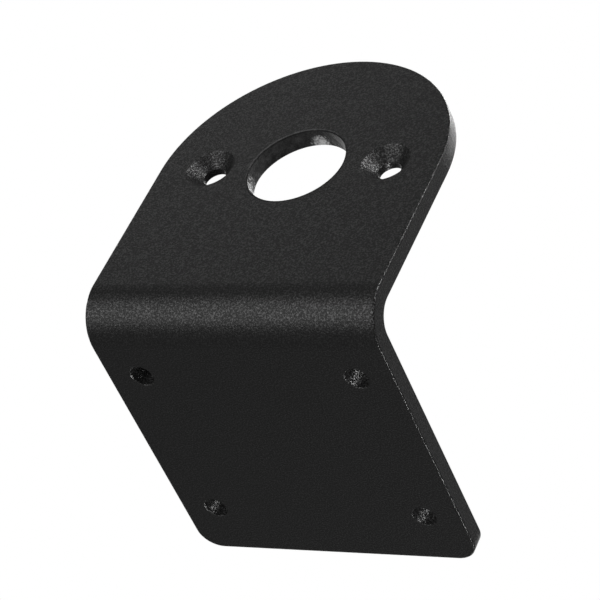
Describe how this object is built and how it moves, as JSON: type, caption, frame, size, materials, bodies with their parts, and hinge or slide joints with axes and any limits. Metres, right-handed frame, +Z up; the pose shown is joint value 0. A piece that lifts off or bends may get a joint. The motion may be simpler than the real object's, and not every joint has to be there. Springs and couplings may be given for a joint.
{
  "type": "motor mounting bracket",
  "caption": "Bent sheet L bracket: a round-ended upright leg with a pilot hole and countersunk screw holes for a small motor, and a base leg with plain screw holes.",
  "frame": {"origin": "centre of the base hole pattern, on the mounting face under the base leg", "axes": "+Z up out of the mounting face, +X along the bend, +Y from the motor leg towards the free end of the base leg, parallel to the motor's axis"},
  "size_m": [0.04, 0.042, 0.0465],
  "materials": {
    "black_powder_coat": "fine textured black powder coat on sheet steel"
  },
  "bodies": {
    "root": {"motor_bracket": "black_powder_coat"}
  },
  "joints": []
}
